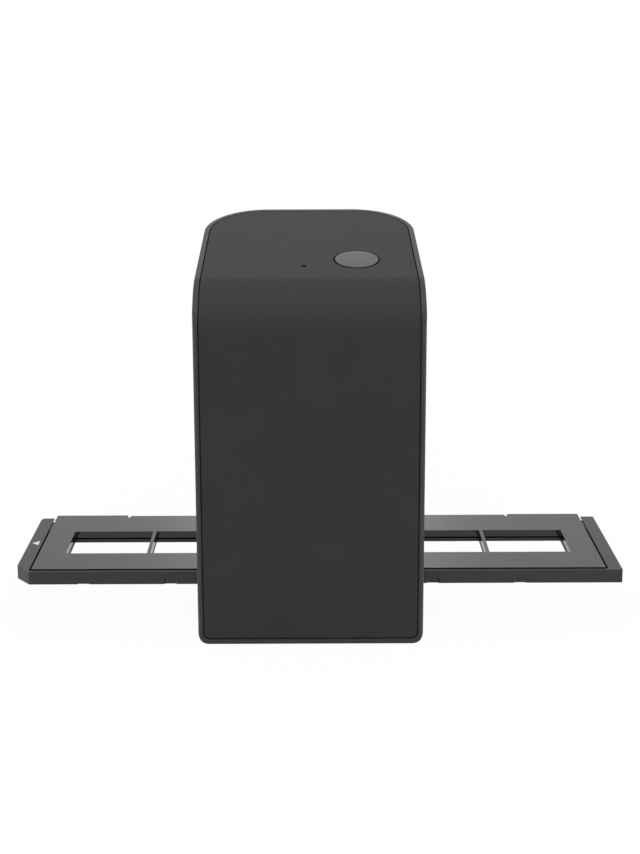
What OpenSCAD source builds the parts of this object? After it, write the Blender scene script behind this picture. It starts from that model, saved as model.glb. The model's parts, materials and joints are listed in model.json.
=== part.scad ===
// Film negative scanner: an upright scanner with a film holder that slides through it from side to side.
// Millimetres, +Z up, the front towards -Y. The origin is on the table, under the middle of the whole part.
// The holder is centred on the origin, and the body stands a little to its left.

/* [Body] */
// Width of the body
body_w = 95.3; // [90:0.1:104]
// Depth of the body, front to rear
body_d = 98; // [96:1:112]
// Height of the body at its rear edge, without the feet
body_h = 171; // [160:0.1:190]
// Slope of the top, which rises towards the rear, in degrees
top_slope = 11; // [6:0.5:13]
// Radius of the bend between front and top
shoulder_r = 21; // [14:1:26]
// Radius of the two rear corners, seen from above
rear_corner_r = 28; // [18:1:30]
// Radius of the two front corners, seen from above
front_corner_r = 2; // [1:0.5:2.5]
// Radius of the body's two lower side edges
lower_edge_r = 4.6; // [3.5:0.1:5]
// Thickness of the housing's walls, which is the rim that shows round the cover
wall = 2.2; // [1.8:0.1:2.8]
// Height of the housing's strip below the cover
strip_h = 2.2; // [1.8:0.1:3]

/* [Front cover] */
// Thickness of the cover
cover_t = 2.2; // [1.8:0.1:2.8]
// Width of the seam round the cover
seam = 0.35; // [0.2:0.05:0.6]
// Radius of the cover's two lower corners
cover_corner_r = 3; // [1.5:0.5:5]
// Width of the ledge that the cover seats on
ledge_w = 2.5; // [1.5:0.5:3.5]
// Thickness of that ledge
ledge_t = 1.5; // [1:0.1:2]
// Length of each snap hook along the cover's edge
hook_l = 8; // [5:1:12]

/* [Base and feet] */
// Thickness of the base plate
base_t = 2.4; // [2:0.1:3]
// Diameter of a rubber foot
foot_dia = 9; // [6:0.5:10]
// How far a foot stands out below the base plate
foot_out = 1.05; // [0.5:0.05:2]
// How deep a foot sits in the base plate
foot_sink = 0.8; // [0.4:0.1:1.2]
// Distance of the feet from the outside of the body
foot_inset = 9.3; // [9.3:0.1:12]

/* [Film holder] */
// Length of the holder
holder_l = 264.4; // [258:0.2:290]
// Width of the holder, front to rear
holder_w = 58.8; // [54:0.2:60]
// Height of the holder's base
holder_h = 6; // [5.5:0.1:8]
// Height of the holder's underside above the bottom of the body
holder_up = 18.55; // [17:0.05:26]
// How far the holder stands to the right of the body's middle
holder_shift = 3.5; // [0:0.5:12]
// How far the holder's middle line lies in front of the body's middle
holder_fwd = 1.4; // [0:0.1:3]
// How far the film's middle line lies behind the holder's middle line
film_back = 0.4; // [0:0.1:1]
// Width of the tab at each end of the holder
tab_w = 6; // [5:0.5:9]
// Thickness of the holder's lid
lid_t = 3.2; // [2.6:0.1:3.6]
// How far the lid stands above the tabs
lid_proud = 0.5; // [0:0.1:1]
// Gap between the lid and each tab
lid_end_gap = 1.1; // [0.4:0.1:1.2]
// How far the lid's ends reach behind the tabs
lid_back = 2.2; // [1:0.1:2.5]
// Width of the rim in front of the lid
holder_rim = 1.3; // [0.8:0.1:2]
// Cut across the holder's front left corner
key_corner = 6.3; // [3:0.1:7]
// Radius of the holder's rear left corner
tab_corner_r = 1.8; // [0.5:0.1:3]
// Depth of the recess in the holder's underside
under_recess = 1; // [0.5:0.1:1.2]
// Diameter of the lid's hinge pins
pin_dia = 1.6; // [1.2:0.1:2]
// Distance from the hinge pins to the rear edge of the tabs
pin_inset = 2.2; // [1.8:0.1:3]

/* [Film] */
// Number of film windows
frames = 6; // [4:1:6]
// Width of one film frame
frame_w = 36; // [34:0.5:37]
// Height of one film frame
frame_h = 24; // [22:0.5:25]
// Distance between the middles of two frames
frame_pitch = 38; // [38:0.5:39]
// Width of the film
film_w = 35; // [35:0.1:36]
// Depth of the film channel in the holder's base
film_channel = 0.5; // [0.3:0.1:0.8]
// Distance of the click notches to the left of the frames' middles
notch_offset = 7.3; // [5:0.1:9]
// Width of a click notch
notch_w = 5; // [4:0.5:7]
// Height of a click notch
notch_h = 0.5; // [0.4:0.1:1.2]
// Distance from the holder's front to the click notches
notch_from = 1.2; // [1:0.1:2]
// Height of the pocket in the holder's front before each click notch
notch_front_h = 2.2; // [1.4:0.1:3]
// Depth of that pocket, whose side walls slope by as much
notch_front_d = 0.5; // [0.4:0.1:0.8]

/* [Film slot and guides] */
// Gap between the holder and the guides at its front, rear and underside
guide_gap = 0.3; // [0.2:0.1:0.5]
// Gap above the holder's lid
lid_gap = 1; // [0.8:0.1:1.6]
// How much larger than the guides' channel the slots in the housing are
slot_margin = 0.4; // [0.2:0.1:0.8]
// Thickness of the guides' plates
guide_t = 2.5; // [2:0.1:3]
// Thickness of the guide's side walls
guide_wall = 2; // [1.5:0.1:2.5]
// How much larger than a frame the light window in the guides is
light_margin = 4; // [3:0.5:6]

/* [Scan button] */
// Diameter of the scan button
button_dia = 18.6; // [16:0.2:20]
// Distance of the button to the right of the body's middle
button_x = 20.3; // [18:0.1:24]
// Distance of the button behind the front of the body
button_y = 35.6; // [34:0.1:42]
// How far the button stands out
button_proud = 0.2; // [0.1:0.1:1]
// Gap round the button
button_gap = 0.6; // [0.3:0.05:0.7]
// Travel of the button
button_travel = 0.5; // [0.3:0.1:0.8]
// Diameter of the light pipe of the power light
pipe_dia = 2.3; // [1.6:0.1:3]
// How deep the light pipe's end lies in its hole
pipe_sunk = 0.6; // [0.2:0.1:1.2]
// Distance of the power light to the left of the body's middle
pipe_x = 2.3; // [0:0.1:6]
// Distance of the power light behind the front of the body
pipe_y = 28.2; // [27:0.1:32]

/* [Optics] */
// Thickness of the light chamber's walls
chamber_wall = 2; // [1.5:0.1:3]
// Height of the chamber's top above the bottom of the body
chamber_top = 105; // [95:1:112]
// Distance from the chamber's top to the sensor board
standoff_h = 16; // [14:0.5:20]
// Side of the square sensor board
sensor_board_w = 42; // [40:1:44]
// Diameter of the lens barrel
barrel_dia = 12; // [10:0.5:12]
// Length of the lens barrel
barrel_l = 18; // [16:0.5:20]
// Side of the square image sensor
sensor_w = 11; // [8:0.5:11]
// Thickness of the diffuser
diffuser_t = 2; // [1.5:0.1:3]
// Height of the white reflector between the backlight and the diffuser
reflector_h = 7.5; // [6:0.1:8]

/* [Boards and screws] */
// Thickness of the circuit boards
board_t = 1.6; // [1:0.1:2]
// Width of the main board
main_board_w = 56; // [50:1:58]
// Height of the main board
main_board_h = 78; // [70:1:90]
// Distance from the main board to the inside of the rear wall
main_board_gap = 7.2; // [7:0.1:9]
// Diameter of the case screws' shanks
screw_dia = 2.5; // [2:0.1:3]
// Diameter of the board screws' shanks
board_screw_dia = 2; // [1.6:0.1:2.2]

/* [Hidden] */
$fn = 64;
eps = 0.5; // how far a cut runs past the face that it opens
press = 0.05; // gap round a shank, pin or board piece in its hole
slack = 0.3; // gap between two loosely fitted pieces

// Places of the body. Everything that isn't the holder is drawn about the body's middle.
body_x = -holder_shift;
front_y = -body_d / 2;
rear_y = body_d / 2;
bottom_z = foot_out;
arc_steps = 20; // steps of a quarter turn or less

// The top plane, and the middle of the bend in front of it
function top_z(y) = bottom_z + body_h + (y - rear_y) * tan(top_slope);
shoulder_y = front_y + shoulder_r;
shoulder_z = top_z(shoulder_y) - shoulder_r / cos(top_slope);

// Places of the holder
holder_y = -holder_fwd;
holder_z = bottom_z + holder_up;
holder_front = holder_y - holder_w / 2;
holder_rear = holder_y + holder_w / 2;
film_y = holder_y + film_back;
lid_rear = holder_rear + lid_back;
tab_inner = holder_l / 2 - tab_w;
lid_half = tab_inner - lid_end_gap;
lid_top = holder_z + holder_h + lid_proud;
lid_under = lid_top - lid_t;
lid_front = holder_front + holder_rim + slack;
pin_y = holder_rear - pin_inset;
pin_z = lid_under + lid_t / 2;
pin_reach = 4; // how far a hinge pin runs into the lid
// room for the lid's rear edge to turn
base_rear = pin_y - sqrt(pow(lid_rear - pin_y, 2) + pow(lid_t / 2, 2)) - slack;
function frame_x(i) = (i - (frames - 1) / 2) * frame_pitch;

// Places of the guides, the light window and the chamber
channel_front = holder_front - guide_gap;
channel_rear = lid_rear + guide_gap;
guide_top = holder_z - guide_gap;
guide_under = guide_top - guide_t;
chamber_under = lid_top + lid_gap;
guide_side = 1.3; // gap between the guides and the housing's walls
light_w = frame_w + light_margin;
light_h = frame_h + light_margin;
ear_r = 4.5;
// the four screwed ears of the guides; the rear ones stand where the rear wall is straight
ear_front = [body_w / 2 - 15.5, channel_front - guide_wall - 4];
ear_rear = [body_w / 2 - rear_corner_r, channel_rear + guide_wall + 4];
ear_at = [for (side = [-1, 1], e = [ear_front, ear_rear]) [body_x + side * e[0], e[1]]];
chamber_top_z = bottom_z + chamber_top;
plate_t = 2.5; // thickness of the chamber's top plate
baffle_t = 1.2;
sensor_board_z = chamber_top_z + standoff_h;
standoff_at = sensor_board_w / 2 - 4;
diffuser_z = guide_under - diffuser_t;
reflector_z = diffuser_z - reflector_h;
backlight_z = reflector_z - board_t;
light_wall = 2; // wall of the reflector

// Places of the main board and the socket
board_y = rear_y - wall - main_board_gap - board_t; // front face of the main board
board_z = bottom_z + 33;
board_hole_x = main_board_w / 2 - 4;
board_hole_z = [4, main_board_h - 4];
socket_z = board_z + 9;
socket_w = 7.7;
socket_h = 4;
socket_l = 5.2;
plug_w = 12; // width and height of the plug's opening in the rear wall
plug_h = 8;

// The button and its board, in the slanted frame of the top: x right, y up the slope, z out of the top
cover_under = -cover_t;
flange_t = 0.8;
flange_dia = button_dia + 2 * button_gap + 1;
collar_dia = flange_dia + 0.8;
flange_z = cover_under - 0.15 - flange_t;
rod_end = flange_z - 1.85;
plunger_dia = 3.4;
plunger_l = 2.3;
switch_w = 6;
switch_h = 3.5;
switch_top = rod_end - press - 1;
button_board_z = switch_top - switch_h; // upper face of the button's board
button_board_t = 1.2;
button_board_rear = 9; // from the button's middle to the rear edge of its board
button_boss_at = [[-30.5, 5], [15.5, -9]]; // from the button
pipe_flange = 0.7;
led_h = 1.2;

// Screws
head_dia = 2 * screw_dia;
head_h = 1.5;
board_head_dia = 2 * board_screw_dia - 0.4;
board_head_h = 1.2;
case_boss_r = 3.5;
case_boss_h = 11;
case_screw_l = 10;
case_screw_at = [[-1, -27], [1, -27], [-1, 17], [1, 17]]; // side, and distance from the body's middle
case_screw_x = body_w / 2 - lower_edge_r - head_dia / 2 - 0.6;

shell_grey = [0.2, 0.2, 0.205];
holder_grey = [0.3, 0.3, 0.31];
button_grey = [0.42, 0.42, 0.42];
board_green = [0.05, 0.3, 0.15];
part_black = [0.06, 0.06, 0.065];

// ---- Shared shapes ----

function arc(x, y, r, from, to, steps = arc_steps) =
    r < 0.05 ? [[x, y]] :
    [for (i = [0:steps]) let(a = from + (to - from) * i / steps) [x + r * cos(a), y + r * sin(a)]];

// Outline of the body seen from above, moved in at its sides and rear, and by its own distance at the front
function plan_outline(inset, front_inset) = let(
    x = body_w / 2 - inset,
    f = front_y + front_inset,
    fr = max(front_corner_r - max(inset, front_inset), 0),
    rr = rear_corner_r - inset,
    b = rear_y - inset)
    concat(
        arc(x - fr, f + fr, fr, -90, 0, 4), arc(x - rr, b - rr, rr, 0, 90),
        arc(-x + rr, b - rr, rr, 90, 180), arc(-x + fr, f + fr, fr, 180, 270, 4));

module plan_prism(inset, front_inset, from_z, to_z)
    translate([body_x, 0, from_z]) linear_extrude(to_z - from_z) polygon(plan_outline(inset, front_inset));

// Side view of the body moved in by t from its front and top, and open at the rear and the bottom
function side_outline(t, rear, bottom) = concat(
    [[front_y + t, bottom]],
    arc(shoulder_y, shoulder_z, shoulder_r - t, 180, 90 + top_slope),
    [[rear, top_z(rear) - t / cos(top_slope)], [rear, bottom]]);

module side_prism(t, width, rear = rear_y + eps, bottom = bottom_z - eps)
    translate([body_x, 0, 0]) rotate([90, 0, 90]) linear_extrude(width, center = true)
        polygon(side_outline(t, rear, bottom));

// Front view of the body or of its cover: lower corners rounded, and open at the top
function front_outline(half, low, r) = concat(
    arc(half - r, low + r, r, -90, 0, 8),
    [[half, 2 * body_h], [-half, 2 * body_h]],
    arc(-half + r, low + r, r, 180, 270, 8));

module front_prism(half, low, r, from_y, to_y)
    translate([body_x, to_y, 0]) rotate([90, 0, 0]) linear_extrude(to_y - from_y)
        polygon(front_outline(half, low, r));

// The whole body's front view, which rounds its lower side edges
module lower_edges() front_prism(body_w / 2, bottom_z, lower_edge_r, front_y - eps, rear_y + eps);

// The layer of the body's front and top that lies between two depths
module skin(t_out, t_in) difference() {
    side_prism(t_out, body_w);
    side_prism(t_in, body_w + 2, rear_y + 2 * eps, bottom_z - 2 * eps);
}

module box(from, to) translate(from) cube(to - from);

// Moves its children to a place on the body's top, with z out of the top
module on_top(x, y) translate([body_x + x, front_y + y, top_z(front_y + y)])
    rotate([top_slope, 0, 0]) children();

// A pan-head screw that points down, with its head's underside at z = 0
module screw(dia, length, head_d, head_height) difference() {
    union() {
        cylinder(head_height, d = head_d);
        translate([0, 0, -length]) cylinder(length + eps, d = dia);
    }
    // cross recess
    for (a = [0, 90]) translate([0, 0, head_height]) rotate(a)
        cube([head_d * 0.6, head_d * 0.16, head_height], center = true);
}

// A flat ribbon of small thickness along a path in the y-z plane
function ribbon_edge(path, t) = [for (i = [0:len(path) - 1]) let(
    before = path[max(i - 1, 0)], after = path[min(i + 1, len(path) - 1)],
    step = after - before, n = [-step[1], step[0]] / norm(step)) path[i] + n * t];
function reversed(points) = [for (i = [len(points) - 1:-1:0]) points[i]];
module ribbon(path, x, width, t = 0.3)
    translate([x, 0, 0]) rotate([90, 0, 90]) linear_extrude(width, center = true)
        polygon(concat(ribbon_edge(path, t / 2), reversed(ribbon_edge(path, -t / 2))));

// ---- Casing ----

module cover_opening() front_prism(
    body_w / 2 - wall, bottom_z + strip_h, cover_corner_r, front_y - eps, front_y + wall + eps);

ledge_out = cover_t + 0.1;

// Ledge behind the edge of the cover, along both sides and round the rear of the top
module cover_ledge() difference() {
    intersection() {
        skin(ledge_out, ledge_out + ledge_t);
        plan_prism(wall / 2, wall / 2, bottom_z, top_z(rear_y));
    }
    plan_prism(wall + ledge_w, ledge_w, bottom_z + strip_h + ledge_w, top_z(rear_y) + eps);
    box([body_x - body_w / 2 + wall + ledge_w, front_y - eps, bottom_z + strip_h + ledge_w],
        [body_x + body_w / 2 - wall - ledge_w, 0, top_z(rear_y) + eps]);
}

module case_boss(side, y) {
    x = body_x + side * case_screw_x;
    edge = body_x + side * (body_w / 2 - wall / 2);
    translate([x, y, bottom_z + base_t]) cylinder(case_boss_h, r = case_boss_r);
    box([min(x, edge), y - 1.2, bottom_z + base_t],
        [max(x, edge), y + 1.2, bottom_z + base_t + case_boss_h]);
}

module housing_body() intersection() {
    lower_edges();
    union() {
        difference() {
            intersection() {
                side_prism(0, body_w + 2);
                plan_prism(0, 0, bottom_z, top_z(rear_y) + eps);
            }
            plan_prism(wall, wall, bottom_z - eps, top_z(rear_y) + 2 * eps);
            cover_opening();
        }
        cover_ledge();
        // foot of the ledge, behind the strip
        box([body_x - body_w / 2 + wall / 2, front_y + wall / 2, bottom_z],
            [body_x + body_w / 2 - wall / 2, front_y + ledge_out + ledge_t, bottom_z + strip_h]);
        for (s = case_screw_at) case_boss(s[0], s[1]);
        intersection() {
            at_board_holes() translate([0, 0, board_t]) cylinder(main_board_gap + wall / 2, r = 3);
            plan_prism(wall / 2, wall / 2, bottom_z, top_z(rear_y));
        }
    }
}

module housing() color(shell_grey) difference() {
    housing_body();
    // slot for the film holder, through both sides
    box([body_x - body_w, channel_front - slot_margin, guide_top - slot_margin],
        [body_x + body_w, channel_rear + slot_margin, chamber_under + slot_margin]);
    // opening for the plug
    box([body_x - plug_w / 2, rear_y - wall - eps, socket_z - plug_h / 2],
        [body_x + plug_w / 2, rear_y + eps, socket_z + plug_h / 2]);
    for (s = case_screw_at) translate([body_x + s[0] * case_screw_x, s[1], bottom_z])
        cylinder(case_screw_l + 2, d = screw_dia + 2 * press);
    at_board_holes() cylinder(board_t + main_board_gap - 0.5, d = board_screw_dia + 2 * press);
}

hook_t = 1.4;
hook_barb = 0.8;
hook_at = [0.28, 0.52, 0.76]; // heights up the front, as shares of the height of the bend

module snap_hook(side, z) {
    x = body_w / 2 - wall - ledge_w - slack;
    low = front_y + cover_t - 0.2;
    high = front_y + ledge_out + ledge_t + 1.4;
    translate([body_x, 0, z]) mirror([side < 0 ? 1 : 0, 0, 0]) {
        box([x - hook_t, low, -hook_l / 2], [x, high, hook_l / 2]);
        box([x - hook_t, high - 1.2, -hook_l / 2], [x + hook_barb, high, hook_l / 2]);
    }
}

module front_cover() color(shell_grey) difference() {
    edge = wall + seam;
    union() {
        intersection() {
            skin(0, cover_t);
            plan_prism(edge, -1, bottom_z, top_z(rear_y) + eps);
            front_prism(
                body_w / 2 - edge, bottom_z + strip_h + seam, cover_corner_r - seam, front_y - eps, rear_y);
        }
        for (side = [-1, 1], h = hook_at) snap_hook(side, bottom_z + h * (shoulder_z - bottom_z));
        // collar round the button
        on_top(button_x, button_y) translate([0, 0, -cover_t - 3]) cylinder(3.5, d = collar_dia + 3.5);
        // bosses for the button's board
        on_top(button_x, button_y) for (p = button_boss_at)
            translate([p[0], p[1], button_board_z]) cylinder(-button_board_z - cover_t / 2, r = 2.5);
    }
    on_top(button_x, button_y) {
        translate([0, 0, -cover_t - eps]) cylinder(cover_t + 2 * eps, d = button_dia + 2 * button_gap);
        translate([0, 0, -cover_t - 4]) cylinder(4, d = collar_dia);
        for (p = button_boss_at) translate([p[0], p[1], button_board_z - eps])
            cylinder(5.5 + eps, d = board_screw_dia + 2 * press);
    }
    on_top(-pipe_x, pipe_y) translate([0, 0, -cover_t - eps])
        cylinder(cover_t + 2 * eps, d = pipe_dia + 2 * press);
}

foot_x = body_w / 2 - foot_inset;
rear_foot_x = body_w / 2 - rear_corner_r * 0.62;
feet_at = [[-foot_x, front_y + foot_inset + 0.5], [foot_x, front_y + foot_inset + 0.5],
    [-rear_foot_x, rear_y - rear_corner_r / 2], [rear_foot_x, rear_y - rear_corner_r / 2]];

module base_plate() color(part_black) difference() {
    top = bottom_z + base_t;
    union() {
        intersection() {
            plan_prism(wall + slack, ledge_out + ledge_t + slack, bottom_z, top);
            lower_edges();
        }
        // bosses that carry the guides
        for (e = ear_at) translate([e[0], e[1], bottom_z]) cylinder(guide_under - bottom_z, r = ear_r);
        // pads under the backlight
        for (x = [-light_w / 2, light_w / 2], y = [-light_h / 2, light_h / 2])
            translate([body_x + x, film_y + y, bottom_z]) cylinder(backlight_z - bottom_z, r = 2);
    }
    for (p = feet_at) translate([body_x + p[0], p[1], bottom_z - eps])
        cylinder(foot_sink + eps, d = foot_dia + 2 * press);
    for (s = case_screw_at) translate([body_x + s[0] * case_screw_x, s[1], bottom_z - eps]) {
        cylinder(base_t + 2 * eps, d = screw_dia + 0.4);
        cylinder(head_h + 0.1 + eps, d = head_dia + 0.6);
    }
    for (e = ear_at) translate([e[0], e[1], top]) cylinder(guide_under, d = screw_dia + 2 * press);
}

module rubber_feet() color(part_black) for (p = feet_at) translate([body_x + p[0], p[1], 0]) {
    cylinder(foot_out + foot_sink, d = foot_dia);
}

module case_screws() color("silver") for (s = case_screw_at)
    translate([body_x + s[0] * case_screw_x, s[1], bottom_z + head_h + 0.1]) rotate([180, 0, 0])
        screw(screw_dia, case_screw_l - 1, head_dia, head_h);

// ---- Button and power light ----

module scan_button() color(button_grey) on_top(button_x, button_y) {
    translate([0, 0, flange_z]) cylinder(button_proud - flange_z, d = button_dia);
    translate([0, 0, flange_z]) cylinder(flange_t, d = flange_dia);
    translate([0, 0, rod_end]) cylinder(flange_z - rod_end + 0.4, d = 4);
}

module switch_plunger() color("black") on_top(button_x, button_y)
    translate([0, 0, rod_end - press - plunger_l]) cylinder(plunger_l, d = plunger_dia);

module tact_switch() color("dimgray") on_top(button_x, button_y) difference() {
    translate([-switch_w / 2, -switch_w / 2, button_board_z]) cube([switch_w, switch_w, switch_h]);
    translate([0, 0, rod_end - press - plunger_l - button_travel - 0.1])
        cylinder(switch_h + 2, d = plunger_dia + 2 * press);
}

module button_board() color(board_green) on_top(button_x, button_y) difference() {
    box([button_boss_at[0][0] - 3, -13, button_board_z - button_board_t],
        [button_boss_at[1][0] + 3, button_board_rear, button_board_z]);
    for (p = button_boss_at) translate([p[0], p[1], button_board_z - 2 * button_board_t])
        cylinder(4 * button_board_t, d = board_screw_dia + 0.2);
}

module button_board_screws() color("silver") on_top(button_x, button_y) for (p = button_boss_at)
    translate([p[0], p[1], button_board_z - button_board_t]) rotate([180, 0, 0])
        screw(board_screw_dia, 5.5, board_head_dia, board_head_h);

module power_led() color("white") on_top(-pipe_x, pipe_y)
    translate([-1.5, -0.8, button_board_z]) cube([3, 1.6, led_h]);

module light_pipe() color("gainsboro", 0.6) on_top(-pipe_x, pipe_y) {
    translate([0, 0, button_board_z + led_h + slack])
        cylinder(-button_board_z - led_h - slack - pipe_sunk, d = pipe_dia);
    translate([0, 0, cover_under - pipe_flange]) cylinder(pipe_flange, d = pipe_dia + 2.4);
}

// ---- Film guides, light chamber and click spring ----

// The screwed ears at the front and the rear of a guide
module ears(from_z, to_z) for (e = ear_at) let(inner = e[1] < holder_y ? channel_front : channel_rear) {
    translate([e[0], e[1], from_z]) cylinder(to_z - from_z, r = ear_r);
    box([e[0] - ear_r, min(e[1], inner), from_z], [e[0] + ear_r, max(e[1], inner), to_z]);
}
module ear_holes(from_z, to_z) for (e = ear_at)
    translate([e[0], e[1], from_z]) cylinder(to_z - from_z, d = screw_dia + 0.2);

module light_window(from_z, to_z) box(
    [body_x - light_w / 2, film_y - light_h / 2, from_z],
    [body_x + light_w / 2, film_y + light_h / 2, to_z]);

click_x = body_x - notch_offset;
click_w = 5; // width of the spring, front to rear
click_y = holder_front + notch_from + click_w / 2 + 0.5;
spring_t = 0.4;
spring_shelf = 0.6; // height of the spring's seat above the guide's underside
spring_screw_x = click_x - 17;

// Plate of the guides from slot to slot, which follows the inside of the housing
module guide_plate(from_y, to_y, from_z, to_z) intersection() {
    box([body_x - body_w / 2, from_y, from_z], [body_x + body_w / 2, to_y, to_z]);
    plan_prism(wall + guide_side, wall + guide_side, from_z - eps, to_z + eps);
}

module lower_guide() color(part_black) difference() {
    union() {
        guide_plate(channel_front - guide_wall, channel_rear + guide_wall, guide_under, guide_top);
        for (y = [channel_front - guide_wall, channel_rear])
            guide_plate(y, y + guide_wall, guide_under, chamber_under);
        ears(guide_under, chamber_under);
        translate([spring_screw_x, click_y, guide_under - 2.6]) cylinder(3, r = 3);
    }
    light_window(guide_under - eps, guide_top + eps);
    ear_holes(guide_under - eps, chamber_under + eps);
    // pocket of the click spring, open below except at its fixed end
    box([spring_screw_x - 3.5, click_y - click_w / 2 - slack, guide_under + spring_shelf],
        [click_x + 7, click_y + click_w / 2 + slack, guide_top + eps]);
    box([spring_screw_x + 3.5, click_y - click_w / 2 - slack, guide_under - eps],
        [click_x + 7, click_y + click_w / 2 + slack, guide_top + eps]);
    translate([spring_screw_x, click_y, guide_under - 2.2]) cylinder(4, d = board_screw_dia + 2 * press);
}

module click_spring() color("silver") {
    seat = guide_under + spring_shelf;
    difference() {
        box([spring_screw_x - 3, click_y - click_w / 2, seat],
            [click_x + 6, click_y + click_w / 2, seat + spring_t]);
        translate([spring_screw_x, click_y, seat - eps]) cylinder(2, d = board_screw_dia + 0.2);
    }
    // bump that clicks into the holder's notches
    intersection() {
        translate([click_x, click_y, guide_top + 0.15 - 3]) rotate([90, 0, 0])
            cylinder(click_w, r = 3, center = true);
        box([click_x - 4, click_y - click_w, seat + spring_t / 2],
            [click_x + 4, click_y + click_w, holder_z]);
    }
}

module spring_screw() color("silver")
    translate([spring_screw_x, click_y, guide_under + spring_shelf + spring_t])
        screw(board_screw_dia, 3, board_head_dia, 0.9);

module light_chamber() color(part_black) difference() {
    union() {
        guide_plate(
            channel_front - guide_wall, channel_rear + guide_wall, chamber_under, chamber_under + guide_t);
        ears(chamber_under, chamber_under + guide_t);
        box([body_x - light_w / 2 - chamber_wall, film_y - light_h / 2 - chamber_wall, chamber_under],
            [body_x + light_w / 2 + chamber_wall, film_y + light_h / 2 + chamber_wall, chamber_top_z]);
        // top plate with the sensor board's standoffs
        box([body_x - sensor_board_w / 2, film_y - sensor_board_w / 2, chamber_top_z - plate_t],
            [body_x + sensor_board_w / 2, film_y + sensor_board_w / 2, chamber_top_z]);
        for (x = [-standoff_at, standoff_at], y = [-standoff_at, standoff_at])
            translate([body_x + x, film_y + y, chamber_top_z - plate_t])
                cylinder(standoff_h + plate_t, r = 3);
    }
    ear_holes(chamber_under - eps, chamber_under + guide_t + eps);
    // inside of the chamber, with two baffles
    for (i = [0:2]) let(step = (chamber_top_z - plate_t - chamber_under) / 3)
        light_window(
            chamber_under + i * step - (i == 0 ? eps : 0),
            chamber_under + (i + 1) * step - (i == 2 ? 0 : baffle_t));
    box([body_x - frame_w / 2, film_y - frame_h / 2, chamber_under],
        [body_x + frame_w / 2, film_y + frame_h / 2, chamber_top_z - plate_t]);
    translate([body_x, film_y, chamber_top_z - plate_t - eps])
        cylinder(plate_t + 2 * eps, d = barrel_dia + 4);
    for (x = [-standoff_at, standoff_at], y = [-standoff_at, standoff_at])
        translate([body_x + x, film_y + y, sensor_board_z - 8])
            cylinder(8 + eps, d = board_screw_dia + 2 * press);
}

module guide_screws() color("silver") for (e = ear_at)
    translate([e[0], e[1], chamber_under + guide_t])
        screw(screw_dia, chamber_under + guide_t - bottom_z - base_t - 4, head_dia, head_h);

// ---- Backlight ----

module diffuser() color("white") box(
    [body_x - light_w / 2 - light_wall, film_y - light_h / 2 - light_wall, diffuser_z],
    [body_x + light_w / 2 + light_wall, film_y + light_h / 2 + light_wall, guide_under]);

module reflector() color("white") difference() {
    box([body_x - light_w / 2 - light_wall, film_y - light_h / 2 - light_wall, reflector_z],
        [body_x + light_w / 2 + light_wall, film_y + light_h / 2 + light_wall, diffuser_z]);
    light_window(reflector_z - eps, diffuser_z + eps);
}

module backlight_board() color(board_green) box(
    [body_x - light_w / 2 - light_wall, film_y - light_h / 2 - light_wall, backlight_z],
    [body_x + light_w / 2 + light_wall, film_y + light_h / 2 + light_wall + 6, reflector_z]);

module backlight_leds() color("lightyellow") for (i = [-1.5:1.5], j = [-1:1])
    translate([body_x + i * light_w / 5 - 1.75, film_y + j * light_h / 4 - 1.4, reflector_z])
        cube([3.5, 2.8, 0.8]);

// ---- Camera ----

module at_lens(z) translate([body_x, film_y, z]) children();
mount_l = 13; // from the sensor board down to the end of the lens mount
cavity = 4.5; // depth of the sensor's space in the mount
barrel_end = sensor_board_z - cavity - 1; // upper end of the barrel

module sensor_board() color(board_green) difference() {
    at_lens(sensor_board_z) translate([-sensor_board_w / 2, -sensor_board_w / 2, 0])
        cube([sensor_board_w, sensor_board_w, board_t]);
    for (x = [-standoff_at, standoff_at], y = [-standoff_at, standoff_at])
        at_lens(sensor_board_z - eps) translate([x, y, 0])
            cylinder(board_t + 2 * eps, d = board_screw_dia + 0.2);
}

module sensor_screws() color("silver") for (x = [-standoff_at, standoff_at], y = [-standoff_at, standoff_at])
    at_lens(sensor_board_z + board_t) translate([x, y, 0])
        screw(board_screw_dia, 7, board_head_dia, board_head_h);

module image_sensor() color("black") at_lens(sensor_board_z - 1.8)
    translate([-sensor_w / 2, -sensor_w / 2, 0]) cube([sensor_w, sensor_w, 1.8]);

module infrared_filter() color("lightblue") at_lens(sensor_board_z - cavity)
    translate([-sensor_w / 2 - 0.8, -sensor_w / 2 - 0.8, 0]) cube([sensor_w + 1.6, sensor_w + 1.6, 0.6]);

module lens_mount() color(part_black) difference() {
    union() {
        at_lens(sensor_board_z - cavity - 1.5) translate([-sensor_w / 2 - 3, -sensor_w / 2 - 3, 0])
            cube([sensor_w + 6, sensor_w + 6, cavity + 1.5]);
        at_lens(sensor_board_z - mount_l) cylinder(mount_l - cavity, d = barrel_dia + 3);
    }
    at_lens(sensor_board_z - cavity) translate([-sensor_w / 2 - 1, -sensor_w / 2 - 1, 0])
        cube([sensor_w + 2, sensor_w + 2, cavity + eps]);
    at_lens(sensor_board_z - mount_l - eps) cylinder(mount_l, d = barrel_dia - 0.5);
    at_lens(sensor_board_z - mount_l - eps)
        cylinder(mount_l - cavity - 0.9 + eps, d = barrel_dia + 2 * press);
}

module lens_barrel() color(part_black) difference() {
    union() {
        at_lens(barrel_end - barrel_l) cylinder(barrel_l, d = barrel_dia);
        at_lens(barrel_end - barrel_l) cylinder(3, d = barrel_dia + 2.4);
    }
    at_lens(barrel_end - barrel_l - eps) cylinder(barrel_l + 2 * eps, d = barrel_dia - 5);
    at_lens(barrel_end - barrel_l - eps) cylinder(2 + eps, d = barrel_dia - 2);
    at_lens(barrel_end - 2) cylinder(2 + eps, d = barrel_dia - 3);
}

module lens_glass() color("azure") {
    at_lens(barrel_end - barrel_l + 0.4) cylinder(1.6, d = barrel_dia - 2 - 2 * press);
    at_lens(barrel_end - 2) cylinder(1.6, d = barrel_dia - 3 - 2 * press);
}

// ---- Main board ----

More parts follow.
